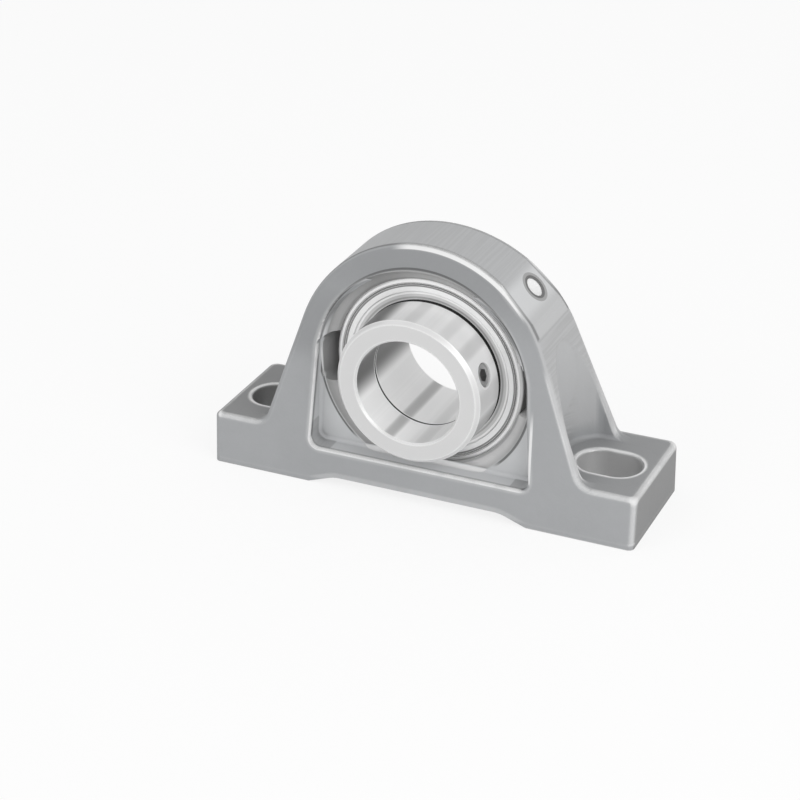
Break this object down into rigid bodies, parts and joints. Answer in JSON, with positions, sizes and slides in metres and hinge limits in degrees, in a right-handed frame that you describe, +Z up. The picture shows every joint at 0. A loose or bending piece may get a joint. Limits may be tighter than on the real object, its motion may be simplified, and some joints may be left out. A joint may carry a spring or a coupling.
{
  "type": "pillow block bearing",
  "caption": "Pillow block bearing unit: cast housing with slotted feet, self-aligning insert ball bearing and eccentric locking collar with a grub screw.",
  "frame": {"origin": "on the mounting plane, midway between the mounting slots and below the middle of the bearing", "axes": "+X along the base towards the foot on the grease port's side, +Y along the shaft away from the locking collar, +Z up from the mounting plane"},
  "size_m": [0.19, 0.0602, 0.1105],
  "materials": {
    "cast_housing": "grey cast skin, fine sand-cast grain",
    "ground_steel": "ground bearing steel",
    "turned_steel": "turned, bright",
    "washer_steel": "pressed sheet, zinc plated",
    "screw_steel": "hardened, dull",
    "ball_steel": "polished",
    "cage_polymer": "glass-filled polyamide, natural",
    "seal_rubber": "matt black",
    "plug_plastic": "moulded, near white"
  },
  "bodies": {
    "housing": {"housing": "cast_housing", "grease_port_plug": "plug_plastic"},
    "outer_ring": {"outer_ring": "ground_steel", "front_seal_inner_washer": "washer_steel", "front_seal_lip": "seal_rubber", "front_seal_outer_washer": "washer_steel", "rear_seal_inner_washer": "washer_steel", "rear_seal_lip": "seal_rubber", "rear_seal_outer_washer": "washer_steel"},
    "inner_ring": {"inner_ring": "ground_steel"},
    "cage": {"ball_cage": "cage_polymer"},
    "ball_1": {"ball_1": "ball_steel"},
    "ball_2": {"ball_2": "ball_steel"},
    "ball_3": {"ball_3": "ball_steel"},
    "ball_4": {"ball_4": "ball_steel"},
    "ball_5": {"ball_5": "ball_steel"},
    "ball_6": {"ball_6": "ball_steel"},
    "ball_7": {"ball_7": "ball_steel"},
    "ball_8": {"ball_8": "ball_steel"},
    "ball_9": {"ball_9": "ball_steel"},
    "locking_collar": {"locking_collar": "turned_steel"},
    "grub_screw": {"grub_screw": "screw_steel"}
  },
  "joints": [
    {"name": "self_alignment", "type": "hinge", "parent": "housing", "child": "outer_ring", "pos_m": [0, 0, 0.054], "axis": [1, 0, 0], "range_deg": [-5, 5]},
    {"name": "shaft_spin", "type": "hinge", "parent": "outer_ring", "child": "inner_ring", "pos_m": [0, 0, 0.054], "axis": [0, 1, 0], "continuous": true},
    {"name": "cage_spin", "type": "hinge", "parent": "outer_ring", "child": "cage", "pos_m": [0, 0, 0.054], "axis": [0, 1, 0], "continuous": true},
    {"name": "ball_1_spin", "type": "hinge", "parent": "cage", "child": "ball_1", "pos_m": [0, 0, 0.0865], "axis": [0, 1, 0], "continuous": true},
    {"name": "ball_2_spin", "type": "hinge", "parent": "cage", "child": "ball_2", "pos_m": [-0.02089, 0, 0.0789], "axis": [0, 1, 0], "continuous": true},
    {"name": "ball_3_spin", "type": "hinge", "parent": "cage", "child": "ball_3", "pos_m": [-0.03201, 0, 0.05964], "axis": [0, 1, 0], "continuous": true},
    {"name": "ball_4_spin", "type": "hinge", "parent": "cage", "child": "ball_4", "pos_m": [-0.02815, 0, 0.03775], "axis": [0, 1, 0], "continuous": true},
    {"name": "ball_5_spin", "type": "hinge", "parent": "cage", "child": "ball_5", "pos_m": [-0.01112, 0, 0.02346], "axis": [0, 1, 0], "continuous": true},
    {"name": "ball_6_spin", "type": "hinge", "parent": "cage", "child": "ball_6", "pos_m": [0.01112, 0, 0.02346], "axis": [0, 1, 0], "continuous": true},
    {"name": "ball_7_spin", "type": "hinge", "parent": "cage", "child": "ball_7", "pos_m": [0.02815, 0, 0.03775], "axis": [0, 1, 0], "continuous": true},
    {"name": "ball_8_spin", "type": "hinge", "parent": "cage", "child": "ball_8", "pos_m": [0.03201, 0, 0.05964], "axis": [0, 1, 0], "continuous": true},
    {"name": "ball_9_spin", "type": "hinge", "parent": "cage", "child": "ball_9", "pos_m": [0.02089, 0, 0.0789], "axis": [0, 1, 0], "continuous": true},
    {"name": "collar_turn", "type": "hinge", "parent": "inner_ring", "child": "locking_collar", "pos_m": [0, 0, 0.054], "axis": [0, 1, 0], "range_deg": [-15, 15]},
    {"name": "grub_screw_travel", "type": "slide", "parent": "locking_collar", "child": "grub_screw", "axis": [0.9511, 0, 0.309], "range_m": [-0.0003, 0.003]}
  ],
  "couplings": [
    {"joint": "cage_spin", "follows": "shaft_spin", "ratio": 0.40231},
    {"joint": "ball_1_spin", "follows": "shaft_spin", "ratio": -2.4614},
    {"joint": "ball_2_spin", "follows": "shaft_spin", "ratio": -2.4614},
    {"joint": "ball_3_spin", "follows": "shaft_spin", "ratio": -2.4614},
    {"joint": "ball_4_spin", "follows": "shaft_spin", "ratio": -2.4614},
    {"joint": "ball_5_spin", "follows": "shaft_spin", "ratio": -2.4614},
    {"joint": "ball_6_spin", "follows": "shaft_spin", "ratio": -2.4614},
    {"joint": "ball_7_spin", "follows": "shaft_spin", "ratio": -2.4614},
    {"joint": "ball_8_spin", "follows": "shaft_spin", "ratio": -2.4614},
    {"joint": "ball_9_spin", "follows": "shaft_spin", "ratio": -2.4614}
  ]
}
